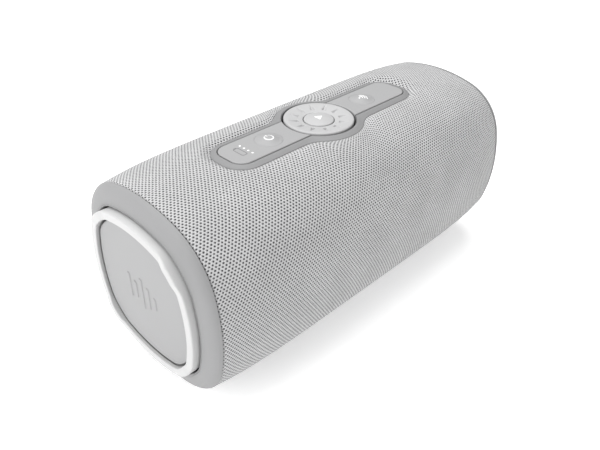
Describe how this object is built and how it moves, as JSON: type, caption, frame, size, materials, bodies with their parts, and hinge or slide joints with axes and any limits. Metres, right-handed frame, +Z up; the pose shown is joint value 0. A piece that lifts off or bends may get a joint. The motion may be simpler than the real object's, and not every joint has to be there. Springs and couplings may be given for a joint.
{
  "type": "portable speaker",
  "caption": "Portable loudspeaker: rounded-square fabric-wrapped body with soft end bumpers, end radiators in foot rings, a recessed top panel with a volume dial, and a covered rear port.",
  "frame": {"origin": "middle of the body in plan, on the surface that the base foot stands on", "axes": "+X along the body towards the right end, -Y towards the front where the drivers face, +Z up"},
  "size_m": [0.2056, 0.092, 0.093],
  "materials": {
    "woven_fabric": "light grey knitted polyester with dark pores",
    "bumper_rubber": "matt grey soft-touch",
    "ring_plastic": "satin white",
    "radiator_skin": "matt light grey",
    "panel_plastic": "matt mid grey soft-touch",
    "bezel_plastic": "matt grey",
    "dial_plastic": "satin light grey",
    "inner_plastic": "moulded black",
    "frame_plastic": "moulded dark grey",
    "foot_rubber": "matt grey",
    "surround_rubber": "matt black",
    "steel": "zinc plated",
    "magnet_black": "coated magnet",
    "cone_paper": "stiff pressed cone",
    "coil_copper": "enamelled copper winding",
    "circuit_board": "solder mask",
    "cell_wrap": "shrink wrap",
    "light_pipe": "clear white",
    "cover_rubber": "matt grey",
    "socket_steel": "plated shell",
    "spider_cloth": "impregnated cloth"
  },
  "bodies": {
    "speaker_body": {"fabric_sleeve": "woven_fabric", "grille_frame": "frame_plastic", "base_foot": "foot_rubber", "front_enclosure": "inner_plastic", "rear_enclosure": "inner_plastic", "enclosure_gasket": "surround_rubber", "case_screws": "steel", "driver_screws": "steel", "control_tub": "inner_plastic", "tub_gasket": "surround_rubber", "control_board": "circuit_board", "press_switches": "inner_plastic", "control_panel": "panel_plastic", "battery_lights": "light_pipe", "control_bezel": "bezel_plastic", "encoder_housing": "steel", "port_bezel": "bezel_plastic", "port_hinge_pin": "steel", "charging_socket": "socket_steel", "main_board": "circuit_board", "battery_bracket": "inner_plastic", "battery_cells": "cell_wrap", "board_screws": "steel", "end_frame_left": "inner_plastic", "foot_ring_left": "ring_plastic", "end_bumper_left": "bumper_rubber", "radiator_surround_left": "surround_rubber", "driver_basket_left": "steel", "driver_surround_left": "surround_rubber", "driver_spider_left": "spider_cloth", "driver_top_plate_left": "steel", "driver_magnet_left": "magnet_black", "driver_yoke_left": "steel", "end_frame_right": "inner_plastic", "foot_ring_right": "ring_plastic", "end_bumper_right": "bumper_rubber", "radiator_surround_right": "surround_rubber", "driver_basket_right": "steel", "driver_surround_right": "surround_rubber", "driver_spider_right": "spider_cloth", "driver_top_plate_right": "steel", "driver_magnet_right": "magnet_black", "driver_yoke_right": "steel"},
    "radiator_left": {"radiator_plate_left": "radiator_skin", "radiator_weight_left": "steel"},
    "cone_left": {"driver_cone_left": "cone_paper", "driver_dust_cap_left": "cone_paper", "voice_coil_left": "coil_copper"},
    "radiator_right": {"radiator_plate_right": "radiator_skin", "radiator_weight_right": "steel"},
    "cone_right": {"driver_cone_right": "cone_paper", "driver_dust_cap_right": "cone_paper", "voice_coil_right": "coil_copper"},
    "dial": {"volume_dial": "dial_plastic", "encoder_rotor": "inner_plastic"},
    "play_key": {"play_button": "dial_plastic"},
    "power_key": {"power_button": "panel_plastic"},
    "pairing_key": {"pairing_button": "panel_plastic"},
    "cover": {"port_cover": "cover_rubber"}
  },
  "joints": [
    {"name": "radiator_left_move", "type": "slide", "parent": "speaker_body", "child": "radiator_left", "axis": [-1, 0, 0], "range_m": [-0.002, 0.0018], "stiffness_N_per_m": 900, "deforming": ["radiator_surround_left"]},
    {"name": "driver_left_move", "type": "slide", "parent": "speaker_body", "child": "cone_left", "axis": [0, -1, 0], "range_m": [-0.001, 0.001], "stiffness_N_per_m": 900, "deforming": ["driver_surround_left", "driver_spider_left"]},
    {"name": "radiator_right_move", "type": "slide", "parent": "speaker_body", "child": "radiator_right", "axis": [1, 0, 0], "range_m": [-0.002, 0.0018], "stiffness_N_per_m": 900, "deforming": ["radiator_surround_right"]},
    {"name": "driver_right_move", "type": "slide", "parent": "speaker_body", "child": "cone_right", "axis": [0, -1, 0], "range_m": [-0.001, 0.001], "stiffness_N_per_m": 900, "deforming": ["driver_surround_right", "driver_spider_right"]},
    {"name": "dial_spin", "type": "hinge", "parent": "speaker_body", "child": "dial", "pos_m": [0, 0, 0.0905], "axis": [0, 0, 1], "continuous": true},
    {"name": "play_press", "type": "slide", "parent": "speaker_body", "child": "play_key", "axis": [0, 0, -1], "range_m": [0, 0.0006], "stiffness_N_per_m": 400},
    {"name": "power_press", "type": "slide", "parent": "speaker_body", "child": "power_key", "axis": [0, 0, -1], "range_m": [0, 0.0006], "stiffness_N_per_m": 400},
    {"name": "pairing_press", "type": "slide", "parent": "speaker_body", "child": "pairing_key", "axis": [0, 0, -1], "range_m": [0, 0.0006], "stiffness_N_per_m": 400},
    {"name": "port_cover_hinge", "type": "hinge", "parent": "speaker_body", "child": "cover", "pos_m": [0, 0.0438, 0.0435], "axis": [-1, 0, 0], "range_deg": [0, 90]}
  ]
}
